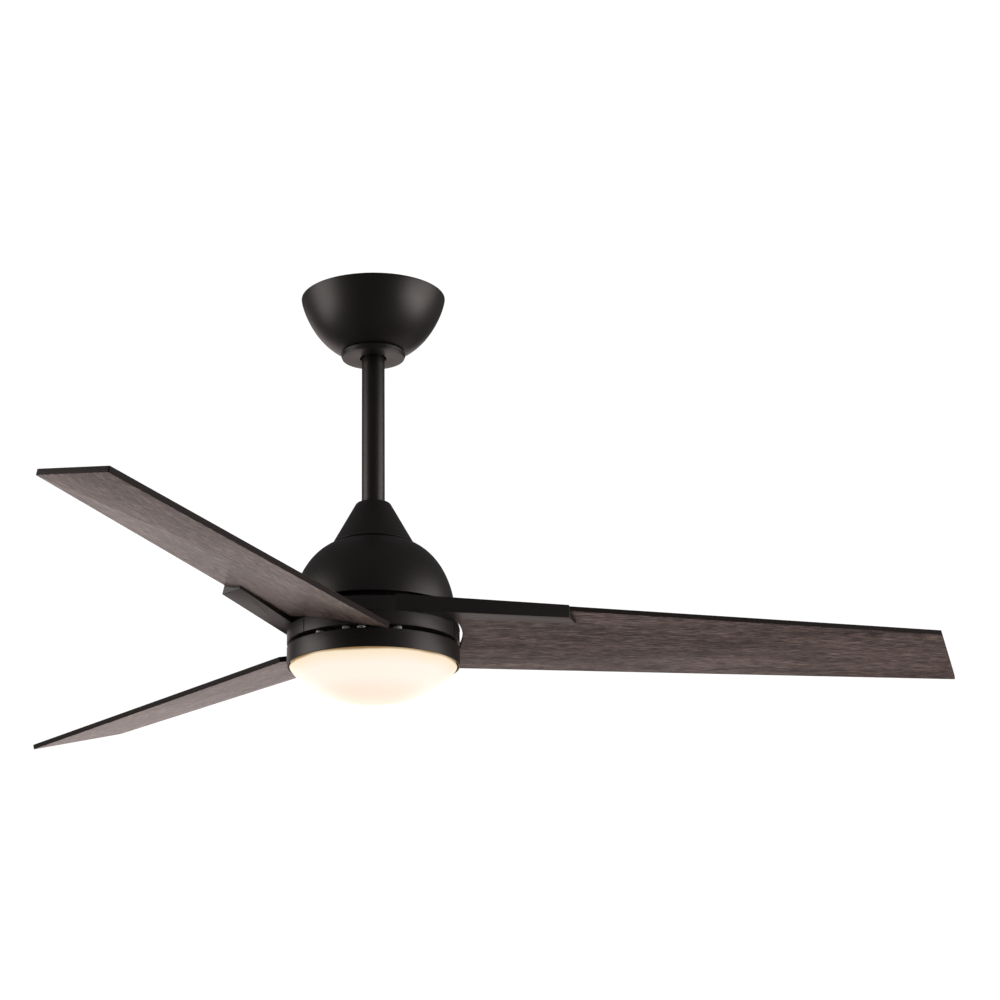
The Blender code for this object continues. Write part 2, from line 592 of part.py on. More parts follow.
def make_glass_shade():
    """Shallow bowl, steep near its rim, with a neck inside the pan that carries three lugs."""
    rim = BLADE_Z - 0.0302
    depth = GLASS_DEPTH - 0.0007
    neck_out, neck_in, neck_top = 0.0888, 0.0864, BLADE_Z - 0.0234
    levels = [math.sin(math.pi / 2 * i / 8) for i in range(9)]
    outer = [(GLASS_R * (1 - t ** 1.207) ** (1 / 2.377), rim - depth * t) for t in levels]
    inner = [(max(0, (GLASS_R - GLASS_WALL) * (1 - t ** 1.207) ** (1 / 2.377)),
              rim - (depth - GLASS_WALL) * t) for t in levels[1:]]
    outer[-1] = (0, outer[-1][1])
    inner[-1] = (0, inner[-1][1])
    profile = [(neck_in, neck_top), (neck_out, neck_top), (neck_out, rim)] + outer + inner[::-1]
    profile.append((neck_in, rim - 0.0030))
    glass = turned("glass_shade", profile, GLASS, closed=True, steps=40)
    lugs = [swept_profile(f"join_lug_{k}", [
        (0.0908, neck_top), (0.0908, BLADE_Z - 0.0258), (neck_out - 0.0008, BLADE_Z - 0.0258),
        (neck_out - 0.0008, neck_top)], a - LUG_SWEEP / 2, LUG_SWEEP, 4, None)
        for k, a in enumerate(LUG_ANGLES)]
    boolean(glass, lugs, "UNION")


# ---------------------------------------------------------------- wiring inside the rod
def make_lead_harness():
    """Leads in one sleeve, past the two cross pins in the rod and down the hollow shaft."""
    side = 0.0066
    route = [(0, side, BLADE_Z + 0.3660), (0, side, BLADE_Z + 0.3300), (0, side, BLADE_Z + 0.2400),
             (0, side, BLADE_Z + 0.1350), (0, side * 0.95, BLADE_Z + 0.1200),
             (0, side * 0.5, BLADE_Z + 0.1140), (0, 0, BLADE_Z + 0.1080), (0, 0, BLADE_Z + 0.0950),
             (0, 0, BLADE_Z + 0.0300), (0, 0, BLADE_Z - 0.0235)]
    curve = bpy.data.curves.new("lead_harness", "CURVE")
    curve.dimensions = "3D"
    curve.bevel_depth = 0.0028
    curve.bevel_resolution = 2
    curve.use_fill_caps = True
    spline = curve.splines.new("POLY")
    spline.points.add(len(route) - 1)
    for point, place in zip(spline.points, route):
        point.co = (*place, 1)
    obj = bpy.data.objects.new("lead_harness", curve)
    curve.materials.append(BLACK_PLASTIC)
    PARTS.objects.link(obj)


clear_scene()
PARTS = collection("ceiling_fan_with_light")
CUTTERS = collection("cutters")
BLACK = finish_material("black_metal", (0.030, 0.028, 0.027), 0.42, 0.6)
STEEL = finish_material("steel", (0.62, 0.61, 0.60), 0.32, 1.0)
ALUMINIUM = finish_material("cast_aluminium", (0.70, 0.70, 0.71), 0.45, 1.0)
COPPER = finish_material("copper_wire", (0.72, 0.38, 0.20), 0.35, 1.0)
DARK_IRON = finish_material("magnet", (0.12, 0.12, 0.13), 0.50, 0.8)
PLASTIC = finish_material("receiver_plastic", (0.08, 0.08, 0.08), 0.55, 0.0)
BLACK_PLASTIC = finish_material("black_nylon", (0.03, 0.03, 0.03), 0.50, 0.0)
WHITE = finish_material("white_board", (0.85, 0.85, 0.83), 0.45, 0.0)
WALNUT = finish_material("dark_walnut", (0.19, 0.15, 0.13), 0.45, 0.0)
GLASS = finish_material("frosted_glass", (0.98, 0.93, 0.86), 0.40, 0.0)

make_hanger_bracket()
make_canopy()
make_canopy_cover()
make_receiver()
make_hanger_ball()
make_downrod()
make_yoke()
make_coupling_cover()
make_motor_dome()
make_shaft()
make_stator()
make_rotor()
make_bearings()
for number, blade_angle in enumerate(BLADE_ANGLES, 1):
    make_blade(number, blade_angle)
    make_blade_holder(number, blade_angle)
make_light_pan()
make_led_parts()
make_glass_shade()
make_lead_harness()
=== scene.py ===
import json
import math

import bmesh
import bpy
from mathutils import Matrix, Vector


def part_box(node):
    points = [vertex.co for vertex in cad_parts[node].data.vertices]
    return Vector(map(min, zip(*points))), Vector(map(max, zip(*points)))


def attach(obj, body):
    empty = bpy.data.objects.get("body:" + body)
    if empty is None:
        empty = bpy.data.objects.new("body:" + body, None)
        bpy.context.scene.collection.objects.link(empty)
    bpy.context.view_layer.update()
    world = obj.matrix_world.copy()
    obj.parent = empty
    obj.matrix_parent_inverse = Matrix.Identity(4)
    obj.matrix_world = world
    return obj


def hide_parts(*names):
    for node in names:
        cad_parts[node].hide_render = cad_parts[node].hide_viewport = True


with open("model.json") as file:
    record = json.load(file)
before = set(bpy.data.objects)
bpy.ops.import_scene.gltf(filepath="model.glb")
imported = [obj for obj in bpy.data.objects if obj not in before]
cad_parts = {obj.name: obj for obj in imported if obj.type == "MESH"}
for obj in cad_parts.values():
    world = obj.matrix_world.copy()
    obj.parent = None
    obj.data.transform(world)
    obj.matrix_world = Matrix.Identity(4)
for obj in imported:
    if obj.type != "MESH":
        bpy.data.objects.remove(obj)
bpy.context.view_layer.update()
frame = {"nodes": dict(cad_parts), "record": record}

scene = bpy.context.scene
scene.view_settings.view_transform = "Standard"
print("frame loaded:", len(frame["nodes"]), "nodes")


# small helpers for node trees
def addNode(tree, kind, settings=None, **inputs):
    node = tree.nodes.new(kind)
    for name, value in (settings or {}).items():
        setattr(node, name, value)
    for name, value in inputs.items():
        feed(tree, node, name, value)
    return node


def feed(tree, node, name, value):
    key = int(name[1:]) if name[0] == "_" and name[1:].isdigit() else name.replace("_", " ")
    socket = node.inputs[key]
    if isinstance(value, bpy.types.NodeSocket):
        tree.links.new(value, socket)
    else:
        socket.default_value = value


def sums(tree, operation, first, second=0.0):
    return addNode(tree, "ShaderNodeMath", {"operation": operation}, _0=first, _1=second).outputs[0]


def newGroup(name, kind, takes, gives):
    tree = bpy.data.node_groups.new(name, kind)
    for label, socketType, value in takes:
        socket = tree.interface.new_socket(label, in_out="INPUT", socket_type=socketType)
        if value is not None:
            socket.default_value = value
    for label, socketType in gives:
        tree.interface.new_socket(label, in_out="OUTPUT", socket_type=socketType)
    return tree, tree.nodes.new("NodeGroupInput"), tree.nodes.new("NodeGroupOutput")


# small helpers for meshes
def roundOff(corners, steps=5):
    # corners: (radius, height) or (radius, height, fillet); a fillet becomes a short arc
    points = []
    count = len(corners)
    for i, corner in enumerate(corners):
        here = Vector(corner[:2])
        fillet = corner[2] if len(corner) > 2 else 0
        if not fillet:
            points.append(tuple(here))
            continue
        before = (Vector(corners[i - 1][:2]) - here).normalized()
        after = (Vector(corners[(i + 1) % count][:2]) - here).normalized()
        half = before.angle(after) / 2
        reach = fillet / math.tan(half)
        centre = here + (before + after).normalized() * fillet / math.sin(half)
        start, end = here + before * reach - centre, here + after * reach - centre
        sweep = start.angle_signed(end)
        for k in range(steps + 1):
            turned = Matrix.Rotation(-sweep * k / steps, 2) @ start
            points.append(tuple(centre + turned))
    return points


def finishPiece(name, bm, mats, sharp=40):
    bmesh.ops.recalc_face_normals(bm, faces=bm.faces)
    mesh = bpy.data.meshes.new(name)
    bm.to_mesh(mesh)
    bm.free()
    mesh.shade_smooth()
    mesh.set_sharp_from_angle(angle=math.radians(sharp))
    for mat in mats:
        mesh.materials.append(mat)
    obj = bpy.data.objects.new(name, mesh)
    scene.collection.objects.link(obj)
    return obj


def lathe(name, profile, mat, steps=160, sharp=40):
    # a closed profile of (radius, height) turned about Z; a point on the axis becomes a pole
    bm = bmesh.new()
    rings = []
    for r, z in profile:
        if r < 1e-6:
            rings.append([bm.verts.new((0, 0, z))])
        else:
            rings.append([bm.verts.new((r * math.cos(a), r * math.sin(a), z))
                          for a in (2 * math.pi * i / steps for i in range(steps))])
    for i, ring in enumerate(rings):
        after = rings[(i + 1) % len(rings)]
        if len(ring) == 1 and len(after) == 1:
            continue
        for k in range(steps):
            n = (k + 1) % steps
            quad = [ring[k % len(ring)], ring[n % len(ring)], after[n % len(after)], after[k % len(after)]]
            bm.faces.new(list(dict.fromkeys(quad)))
    return finishPiece(name, bm, [mat], sharp)


def prism(name, outline, low, high, place=None):
    bm = bmesh.new()
    face = bm.faces.new([bm.verts.new((x, y, low)) for x, y in outline])
    pushed = bmesh.ops.extrude_face_region(bm, geom=[face])
    top = [v for v in pushed["geom"] if isinstance(v, bmesh.types.BMVert)]
    bmesh.ops.translate(bm, verts=top, vec=(0, 0, high - low))
    if place:
        bmesh.ops.transform(bm, verts=bm.verts, matrix=place)
    return finishPiece(name, bm, [])


def barBetween(name, start, end, radius, sides=32):
    start, end = Vector(start), Vector(end)
    bm = bmesh.new()
    bmesh.ops.create_cone(bm, cap_ends=True, segments=sides, radius1=radius, radius2=radius,
                          depth=(end - start).length)
    turn = (end - start).to_track_quat("Z", "Y").to_matrix().to_4x4()
    bmesh.ops.transform(bm, verts=bm.verts, matrix=Matrix.Translation((start + end) / 2) @ turn)
    return finishPiece(name, bm, [])


def sweepPart(name, profile, start, sweep, steps):
    bm = bmesh.new()
    face = bm.faces.new([bm.verts.new((r, 0, z)) for r, z in profile])
    bmesh.ops.rotate(bm, verts=bm.verts, cent=(0, 0, 0), matrix=Matrix.Rotation(start, 3, "Z"))
    bmesh.ops.spin(bm, geom=[face], cent=(0, 0, 0), axis=(0, 0, 1), angle=sweep, steps=steps)
    return finishPiece(name, bm, [])


def combine(target, others, operation):
    for other in others:
        mod = target.modifiers.new(operation.title(), "BOOLEAN")
        mod.operation = operation
        mod.solver = "EXACT"
        mod.object = other


def bakeDown(obj, helpers=()):
    # turns the modifiers into a plain mesh and clears the helpers away
    depsgraph = bpy.context.evaluated_depsgraph_get()
    depsgraph.update()
    mesh = bpy.data.meshes.new_from_object(obj.evaluated_get(depsgraph))
    obj.modifiers.clear()
    obj.data = mesh
    for helper in helpers:
        bpy.data.objects.remove(helper, do_unlink=True)
    return obj


def coat(obj, mat, sharp):
    # one material and smooth faces, with the hard edges kept
    obj.data.materials.clear()
    obj.data.materials.append(mat)
    for face in obj.data.polygons:
        face.material_index = 0
    obj.data.shade_smooth()
    obj.data.set_sharp_from_angle(angle=math.radians(sharp))


def onCircle(radius, angle, height=0.0):
    return Vector((radius * math.cos(angle), radius * math.sin(angle), height))


def settle(obj, body, nodes):
    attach(obj, body)
    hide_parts(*nodes)


# shader groups
def makePaintGroup():
    # fine orange-peel texture with a little colour and gloss drift
    tree, take, give = newGroup("paintSkin", "ShaderNodeTree", [
        ("Colour", "NodeSocketColor", (0.1, 0.1, 0.1, 1)), ("Drift", "NodeSocketFloat", 0.1),
        ("Roughness", "NodeSocketFloat", 0.4), ("Gloss Drift", "NodeSocketFloat", 0.05),
        ("Grain Size", "NodeSocketFloat", 900.0)],
        [("Colour", "NodeSocketColor"), ("Roughness", "NodeSocketFloat"), ("Height", "NodeSocketFloat")])
    place = addNode(tree, "ShaderNodeTexCoord").outputs["Object"]
    broad = addNode(tree, "ShaderNodeTexNoise", Vector=place, Scale=22.0, Detail=4.0).outputs["Fac"]
    fine = addNode(tree, "ShaderNodeTexNoise", Vector=place, Scale=take.outputs["Grain Size"],
                   Detail=2.0).outputs["Fac"]
    drift = sums(tree, "MULTIPLY", sums(tree, "SUBTRACT", broad, 0.5), take.outputs["Drift"])
    fleck = sums(tree, "MULTIPLY", sums(tree, "SUBTRACT", fine, 0.5), take.outputs["Drift"])
    shade = sums(tree, "ADD", sums(tree, "ADD", drift, fleck), 1.0)
    tint = addNode(tree, "ShaderNodeVectorMath", {"operation": "SCALE"}, _0=take.outputs["Colour"],
                   Scale=shade)
    tree.links.new(tint.outputs[0], give.inputs["Colour"])
    rough = sums(tree, "MULTIPLY", sums(tree, "SUBTRACT", broad, 0.5), take.outputs["Gloss Drift"])
    rough = sums(tree, "ADD", rough, take.outputs["Roughness"])
    tree.links.new(rough, give.inputs["Roughness"])
    tree.links.new(fine, give.inputs["Height"])
    return tree


def makeBrushGroup():
    # turning or rolling marks: fine rings round Z, or fine lines along X
    tree, take, give = newGroup("toolMarks", "ShaderNodeTree", [
        ("Colour", "NodeSocketColor", (0.6, 0.6, 0.6, 1)), ("Roughness", "NodeSocketFloat", 0.3),
        ("Depth", "NodeSocketFloat", 0.2), ("Spacing", "NodeSocketVector", (60.0, 60.0, 2600.0))],
        [("Colour", "NodeSocketColor"), ("Roughness", "NodeSocketFloat"), ("Height", "NodeSocketFloat")])
    place = addNode(tree, "ShaderNodeTexCoord").outputs["Object"]
    stretched = addNode(tree, "ShaderNodeVectorMath", {"operation": "MULTIPLY"}, _0=place,
                        _1=take.outputs["Spacing"])
    lines = addNode(tree, "ShaderNodeTexNoise", Vector=stretched.outputs[0], Scale=1.0,
                    Detail=3.0).outputs["Fac"]
    centred = sums(tree, "SUBTRACT", lines, 0.5)
    shade = sums(tree, "ADD", sums(tree, "MULTIPLY", centred, take.outputs["Depth"]), 1.0)
    tint = addNode(tree, "ShaderNodeVectorMath", {"operation": "SCALE"}, _0=take.outputs["Colour"],
                   Scale=shade)
    tree.links.new(tint.outputs[0], give.inputs["Colour"])
    swing = sums(tree, "MULTIPLY", centred, take.outputs["Depth"])
    rough = sums(tree, "ADD", swing, take.outputs["Roughness"])
    tree.links.new(rough, give.inputs["Roughness"])
    tree.links.new(lines, give.inputs["Height"])
    return tree


paintGroup = makePaintGroup()
brushGroup = makeBrushGroup()


def newMaterial(name, **inputs):
    mat = bpy.data.materials.new(name)
    mat.use_nodes = True
    shader = mat.node_tree.nodes["Principled BSDF"]
    for label, value in inputs.items():
        feed(mat.node_tree, shader, label, value)
    return mat, mat.node_tree, shader


def texturedMaterial(name, group, settings, bumpStrength, bumpDepth, **inputs):
    mat, tree, shader = newMaterial(name, **inputs)
    skin = addNode(tree, "ShaderNodeGroup", {"node_tree": group})
    for label, value in settings.items():
        skin.inputs[label].default_value = value
    bump = addNode(tree, "ShaderNodeBump", Strength=bumpStrength, Distance=bumpDepth,
                   Height=skin.outputs["Height"])
    tree.links.new(skin.outputs["Colour"], shader.inputs["Base Color"])
    tree.links.new(skin.outputs["Roughness"], shader.inputs["Roughness"])
    tree.links.new(bump.outputs["Normal"], shader.inputs["Normal"])
    return mat


def painted(name, colour, roughness, drift=0.12, glossDrift=0.06, grain=1100.0, bump=0.25, **inputs):
    return texturedMaterial(name, paintGroup, {
        "Colour": (*colour, 1), "Drift": drift, "Roughness": roughness, "Gloss Drift": glossDrift,
        "Grain Size": grain}, bump, 0.0001, **inputs)


def machined(name, colour, roughness, depth=0.25, spacing=(60, 60, 2600), bump=0.15):
    return texturedMaterial(name, brushGroup, {
        "Colour": (*colour, 1), "Roughness": roughness, "Depth": depth, "Spacing": spacing},
        bump, 0.00005, Metallic=1.0)


# a grain layer is (marks per metre along, marks per metre across, noise detail, weight)
woodLook = {"dark": (0.020, 0.0115, 0.0095), "middle": (0.058, 0.0350, 0.0300),
            "light": (0.210, 0.140, 0.122), "poreColour": (0.010, 0.006, 0.005),
            "roughness": (0.44, 0.34), "stops": (0.35, 0.50, 0.70), "toneOffset": 1.13,
            "glossSpan": (1.35, 1.9), "bendLayer": (11.0, 30.0, 3.0), "bendReach": 0.010,
            "ringsPerMetre": 520.0, "ringWeight": 0.06,
            "poreLayer": (60.0, 1100.0, 2.0), "poreSpan": (0.34, 0.42),
            "grain": ((60.0, 1500.0, 3.0, 1.50), (40.0, 700.0, 3.0, 0.70), (160.0, 2600.0, 2.0, 0.60),
                      (7.0, 55.0, 3.0, 0.45))}


def makeWood():
    # grain along the board: UV is in metres, u out along the blade and v across it
    look = woodLook
    mat, tree, shader = newMaterial("darkWalnut")
    grainMap = addNode(tree, "ShaderNodeUVMap", {"uv_map": "grain"})
    uv = addNode(tree, "ShaderNodeSeparateXYZ", Vector=grainMap.outputs["UV"])

    def streaks(along, across, detail, sideways=None):
        y = uv.outputs["Y"] if sideways is None else sums(tree, "ADD", uv.outputs["Y"], sideways)
        spot = addNode(tree, "ShaderNodeCombineXYZ", X=sums(tree, "MULTIPLY", uv.outputs["X"], along),
                       Y=sums(tree, "MULTIPLY", y, across))
        noise = addNode(tree, "ShaderNodeTexNoise", Vector=spot.outputs[0], Scale=1.0, Detail=detail)
        return noise.outputs["Fac"]

    # a slow sideways drift keeps the fibres from running dead straight
    drift = sums(tree, "SUBTRACT", streaks(*look["bendLayer"]), 0.5)
    bend = sums(tree, "MULTIPLY", drift, look["bendReach"])
    ringPlace = sums(tree, "ADD", uv.outputs["Y"], sums(tree, "MULTIPLY", bend, 3.0))
    rings = sums(tree, "SINE", sums(tree, "MULTIPLY", ringPlace, look["ringsPerMetre"]))
    tone = sums(tree, "MULTIPLY", sums(tree, "MULTIPLY", rings, 0.5), look["ringWeight"])
    for along, across, detail, weight in look["grain"]:
        tone = sums(tree, "ADD", sums(tree, "MULTIPLY", streaks(along, across, detail, bend), weight), tone)
    ramp = addNode(tree, "ShaderNodeValToRGB", Fac=sums(tree, "SUBTRACT", tone, look["toneOffset"]))
    stops = ramp.color_ramp.elements
    low, middle, high = look["stops"]
    stops[0].position, stops[0].color = low, (*look["dark"], 1)
    stops[1].position, stops[1].color = high, (*look["light"], 1)
    stops.new(middle).color = (*look["middle"], 1)
    pores = streaks(*look["poreLayer"], bend)
    poreMask = addNode(tree, "ShaderNodeMapRange", Value=pores, From_Min=look["poreSpan"][0],
                       From_Max=look["poreSpan"][1]).outputs[0]
    mixed = addNode(tree, "ShaderNodeMix", {"data_type": "RGBA"}, Factor=poreMask)
    mixed.inputs[6].default_value = (*look["poreColour"], 1)
    tree.links.new(ramp.outputs["Color"], mixed.inputs[7])
    tree.links.new(mixed.outputs[2], shader.inputs["Base Color"])
    rough = addNode(tree, "ShaderNodeMapRange", Value=tone, From_Min=look["glossSpan"][0],
                    From_Max=look["glossSpan"][1], To_Min=look["roughness"][0], To_Max=look["roughness"][1])
    tree.links.new(rough.outputs[0], shader.inputs["Roughness"])
    bump = addNode(tree, "ShaderNodeBump", Strength=0.2, Distance=0.0001)
    height = sums(tree, "ADD", sums(tree, "MULTIPLY", poreMask, 0.7), sums(tree, "MULTIPLY", tone, 0.5))
    tree.links.new(height, bump.inputs["Height"])
    tree.links.new(bump.outputs["Normal"], shader.inputs["Normal"])
    return mat


glassLook = {"rimColour": (0.30, 0.17, 0.06), "nearRim": (0.95, 0.78, 0.56), "side": (0.99, 0.89, 0.775),
             "pole": (0.98, 0.74, 0.59), "body": (0.05, 0.05, 0.05), "frost": (0.08, 0.08, 0.08),
             "strength": 0.98, "stops": ((0.055, "nearRim"), (0.36, "side"), (0.64, "side")),
             "mottle": 0.16}


def makeFrostedGlass(rimZ, poleZ):
    # opal glass lit from inside: amber where the light leaves edge-on at the rim
    mat, tree, shader = newMaterial("frostedGlass", Roughness=0.38, Emission_Strength=glassLook["strength"])
    place = addNode(tree, "ShaderNodeTexCoord").outputs["Object"]
    height = addNode(tree, "ShaderNodeSeparateXYZ", Vector=place).outputs["Z"]
    down = addNode(tree, "ShaderNodeMapRange", Value=height, From_Min=rimZ, From_Max=poleZ).outputs[0]
    mottle = addNode(tree, "ShaderNodeTexNoise", Vector=place, Scale=14.0, Detail=2.0).outputs["Fac"]
    drift = sums(tree, "MULTIPLY", sums(tree, "SUBTRACT", mottle, 0.5), glassLook["mottle"])
    ramp = addNode(tree, "ShaderNodeValToRGB", Fac=sums(tree, "ADD", down, drift))
    stops = ramp.color_ramp.elements
    stops[0].position, stops[0].color = 0.0, (*glassLook["rimColour"], 1)
    stops[1].position, stops[1].color = 1.0, (*glassLook["pole"], 1)
    for position, tint in glassLook["stops"]:
        stops.new(position).color = (*glassLook[tint], 1)
    tree.links.new(ramp.outputs["Color"], shader.inputs["Emission Color"])
    frost = addNode(tree, "ShaderNodeTexNoise", Vector=place, Scale=2600.0, Detail=2.0)
    body = addNode(tree, "ShaderNodeMix", {"data_type": "RGBA"}, Factor=frost.outputs["Fac"])
    body.inputs[6].default_value = (*glassLook["body"], 1)
    body.inputs[7].default_value = (*glassLook["frost"], 1)
    tree.links.new(body.outputs[2], shader.inputs["Base Color"])
    bump = addNode(tree, "ShaderNodeBump", Strength=0.2, Distance=0.0001, Height=frost.outputs["Fac"])
    tree.links.new(bump.outputs["Normal"], shader.inputs["Normal"])
    return mat


blackPaint = painted("blackPowderCoat", (0.0078, 0.0062, 0.0058), 0.42)
nylon = painted("blackNylon", (0.030, 0.030, 0.031), 0.50, drift=0.2, grain=1800.0)
whiteEnamel = painted("whiteSolderMask", (0.80, 0.80, 0.78), 0.40, drift=0.05, grain=700.0, bump=0.1)
ferrite = painted("ferrite", (0.05, 0.05, 0.055), 0.55, drift=0.3, grain=1400.0, bump=0.5)
steel = machined("zincSteel", (0.62, 0.62, 0.61), 0.28)
brightZinc = texturedMaterial("brightZinc", brushGroup, {
    "Colour": (0.95, 0.95, 0.93, 1), "Roughness": 0.30, "Depth": 0.2, "Spacing": (60, 60, 2600)},
    0.1, 0.00005, Metallic=0.15)
castAluminium = machined("castAluminium", (0.62, 0.63, 0.64), 0.42, depth=0.5, spacing=(900, 900, 900),
                         bump=0.5)
laminated = machined("laminatedSteel", (0.40, 0.41, 0.43), 0.38, depth=0.9, spacing=(4, 4, 2400), bump=0.6)
copper = machined("enamelledCopper", (0.72, 0.30, 0.14), 0.26, depth=0.5, spacing=(30, 30, 1400), bump=0.9)
walnut = makeWood()
print("materials made")

# camera
cameraLook = {"place": (-0.0014, -2.5946, -1.0537), "upwards": math.radians(17.495), "lens": 89.45,
              "shift": 0.128}
camera = bpy.data.objects.new("camera", bpy.data.cameras.new("camera"))
scene.collection.objects.link(camera)
camera.location = cameraLook["place"]
camera.rotation_euler = (math.pi / 2 + cameraLook["upwards"], 0, 0)
camera.data.lens = cameraLook["lens"]
camera.data.sensor_width = 36
camera.data.shift_x = cameraLook["shift"]
scene.camera = camera

# bowls: one rule shapes the canopy, the motor dome and the glass
def makeBowlTree():
    tree, take, give = newGroup("superBowl", "GeometryNodeTree", [
        ("Geometry", "NodeSocketGeometry", None), ("Rim Radius", "NodeSocketFloat", 0.08),
        ("Rim Height", "NodeSocketFloat", 0.0), ("Depth", "NodeSocketFloat", -0.07),
        ("Power A", "NodeSocketFloat", 2.0), ("Power B", "NodeSocketFloat", 2.0),
        ("Cut", "NodeSocketFloat", 0.9), ("Hole Radius", "NodeSocketFloat", 0.0),
        ("Wall", "NodeSocketFloat", 0.001), ("Around", "NodeSocketInt", 160),
        ("Levels", "NodeSocketInt", 60), ("Material", "NodeSocketMaterial", None)],
        [("Geometry", "NodeSocketGeometry")])
    inputs = take.outputs
    rows = sums(tree, "ADD", sums(tree, "MULTIPLY", inputs["Levels"], 2.0), 1.0)
    columns = sums(tree, "ADD", inputs["Around"], 1.0)
    grid = addNode(tree, "GeometryNodeMeshGrid", Size_X=1.0, Size_Y=1.0, Vertices_X=columns, Vertices_Y=rows)
    position = addNode(tree, "GeometryNodeInputPosition").outputs[0]
    place = addNode(tree, "ShaderNodeSeparateXYZ", Vector=position)
    u = sums(tree, "ADD", place.outputs["X"], 0.5)
    # row counts 0 .. Levels-1 on the outside, Levels .. 2*Levels-1 on the inside, then back to the first
    row = sums(tree, "ROUND", sums(tree, "MULTIPLY", sums(tree, "ADD", place.outputs["Y"], 0.5),
                                   sums(tree, "MULTIPLY", inputs["Levels"], 2.0)))
    row = sums(tree, "FLOORED_MODULO", row, sums(tree, "MULTIPLY", inputs["Levels"], 2.0))
    inside = sums(tree, "GREATER_THAN", row, sums(tree, "SUBTRACT", inputs["Levels"], 0.5))
    mirrored = sums(tree, "SUBTRACT", sums(tree, "SUBTRACT", rows, 2.0), row)
    step = addNode(tree, "ShaderNodeMix", Factor=inside, _2=row, _3=mirrored).outputs[0]
    part = sums(tree, "DIVIDE", step, sums(tree, "SUBTRACT", inputs["Levels"], 1.0))
    # the last twelfth of the rows is the flat that runs in to the hole
    curved = sums(tree, "MINIMUM", sums(tree, "DIVIDE", part, 11 / 12), 1.0)
    flat = sums(tree, "MAXIMUM", sums(tree, "MULTIPLY", sums(tree, "SUBTRACT", part, 11 / 12), 12.0), 0.0)
    eased = sums(tree, "SINE", sums(tree, "MULTIPLY", curved, math.pi / 2))
    t = sums(tree, "MULTIPLY", eased, inputs["Cut"])
    power = sums(tree, "SUBTRACT", 1.0, sums(tree, "POWER", t, inputs["Power A"]))
    root = sums(tree, "DIVIDE", 1.0, inputs["Power B"])
    shape = sums(tree, "POWER", sums(tree, "MAXIMUM", power, 0.0), root)
    wall = sums(tree, "MULTIPLY", inputs["Wall"], inside)
    radius = sums(tree, "MULTIPLY", shape, sums(tree, "SUBTRACT", inputs["Rim Radius"], wall))
    radius = addNode(tree, "ShaderNodeMix", Factor=flat, _2=radius, _3=inputs["Hole Radius"]).outputs[0]
    thinned = sums(tree, "DIVIDE", wall, inputs["Cut"])
    span = sums(tree, "SUBTRACT", sums(tree, "ABSOLUTE", inputs["Depth"]), thinned)
    fall = sums(tree, "MULTIPLY", sums(tree, "MULTIPLY", t, span), sums(tree, "SIGN", inputs["Depth"]))
    z = sums(tree, "ADD", fall, inputs["Rim Height"])
    turn = sums(tree, "MULTIPLY", u, 2 * math.pi)
    spot = addNode(tree, "ShaderNodeCombineXYZ", X=sums(tree, "MULTIPLY", radius, sums(tree, "COSINE", turn)),
                   Y=sums(tree, "MULTIPLY", radius, sums(tree, "SINE", turn)), Z=z)
    moved = addNode(tree, "GeometryNodeSetPosition", Geometry=grid.outputs["Mesh"], Position=spot.outputs[0])
    merged = addNode(tree, "GeometryNodeMergeByDistance", Geometry=moved.outputs[0], Distance=0.00001)
    real = addNode(tree, "GeometryNodeRealizeInstances", Geometry=merged.outputs[0])
    smooth = addNode(tree, "GeometryNodeSetShadeSmooth", Geometry=real.outputs[0])
    coated = addNode(tree, "GeometryNodeSetMaterial", Geometry=smooth.outputs[0], Material=inputs["Material"])
    tree.links.new(coated.outputs[0], give.inputs["Geometry"])
    return tree


def growFromNodes(name, tree, values, mesh=None):
    # runs a geometry node tree once and keeps its result as a plain mesh
    obj = bpy.data.objects.new(name, mesh or bpy.data.meshes.new(name))
    scene.collection.objects.link(obj)
    mod = obj.modifiers.new("Nodes", "NODES")
    mod.node_group = tree
    for item in tree.interface.items_tree:
        if item.item_type == "SOCKET" and item.in_out == "INPUT" and item.name in values:
            mod[item.identifier] = values[item.name]
    return bakeDown(obj)


def cleanShell(obj, sharp=40, bevel=0.0):
    bm = bmesh.new()
    bm.from_mesh(obj.data)
    bmesh.ops.remove_doubles(bm, verts=bm.verts, dist=0.000005)
    bmesh.ops.recalc_face_normals(bm, faces=bm.faces)
    bm.to_mesh(obj.data)
    bm.free()
    if bevel:
        mod = obj.modifiers.new("Edges", "BEVEL")
        mod.width, mod.segments, mod.angle_limit = bevel, 3, math.radians(50)
        bakeDown(obj)
    obj.data.shade_smooth()
    obj.data.set_sharp_from_angle(angle=math.radians(sharp))
    return obj


def nodeSpan(node):
    low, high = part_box(node)
    return high[0], low[2], high[2]         # radius, lowest, highest


bowlTree = makeBowlTree()
canopyR, canopyLow, canopyHigh = nodeSpan("canopy")
domeLow = nodeSpan("motor_dome")[1]
bladeZ = domeLow - 0.0320                   # the blades' own level, 32 mm under the dome's rim
canopyLook = {"Rim Radius": canopyR, "Rim Height": canopyHigh, "Depth": -0.0693, "Power A": 1.339,
              "Power B": 2.58, "Cut": 0.909, "Hole Radius": 0.0200, "Wall": 0.0012, "Around": 192,
              "Levels": 61, "Material": blackPaint}
canopyScrewLook = {"out": 0.027, "hole": 0.0023}
domeLook = {"Rim Radius": 0.0880, "Rim Height": domeLow, "Depth": 0.0799, "Power A": 1.724,
            "Power B": 2.945, "Cut": 0.957, "Hole Radius": 0.0185, "Wall": 0.0015, "Around": 192,
            "Levels": 61, "Material": blackPaint}
domeScrewLook = {"out": 0.026, "hole": 0.0021, "low": 0.100, "high": 0.115, "headTop": 0.1106}
canopy = cleanShell(growFromNodes("canopyShell", bowlTree, canopyLook), bevel=0.0004)
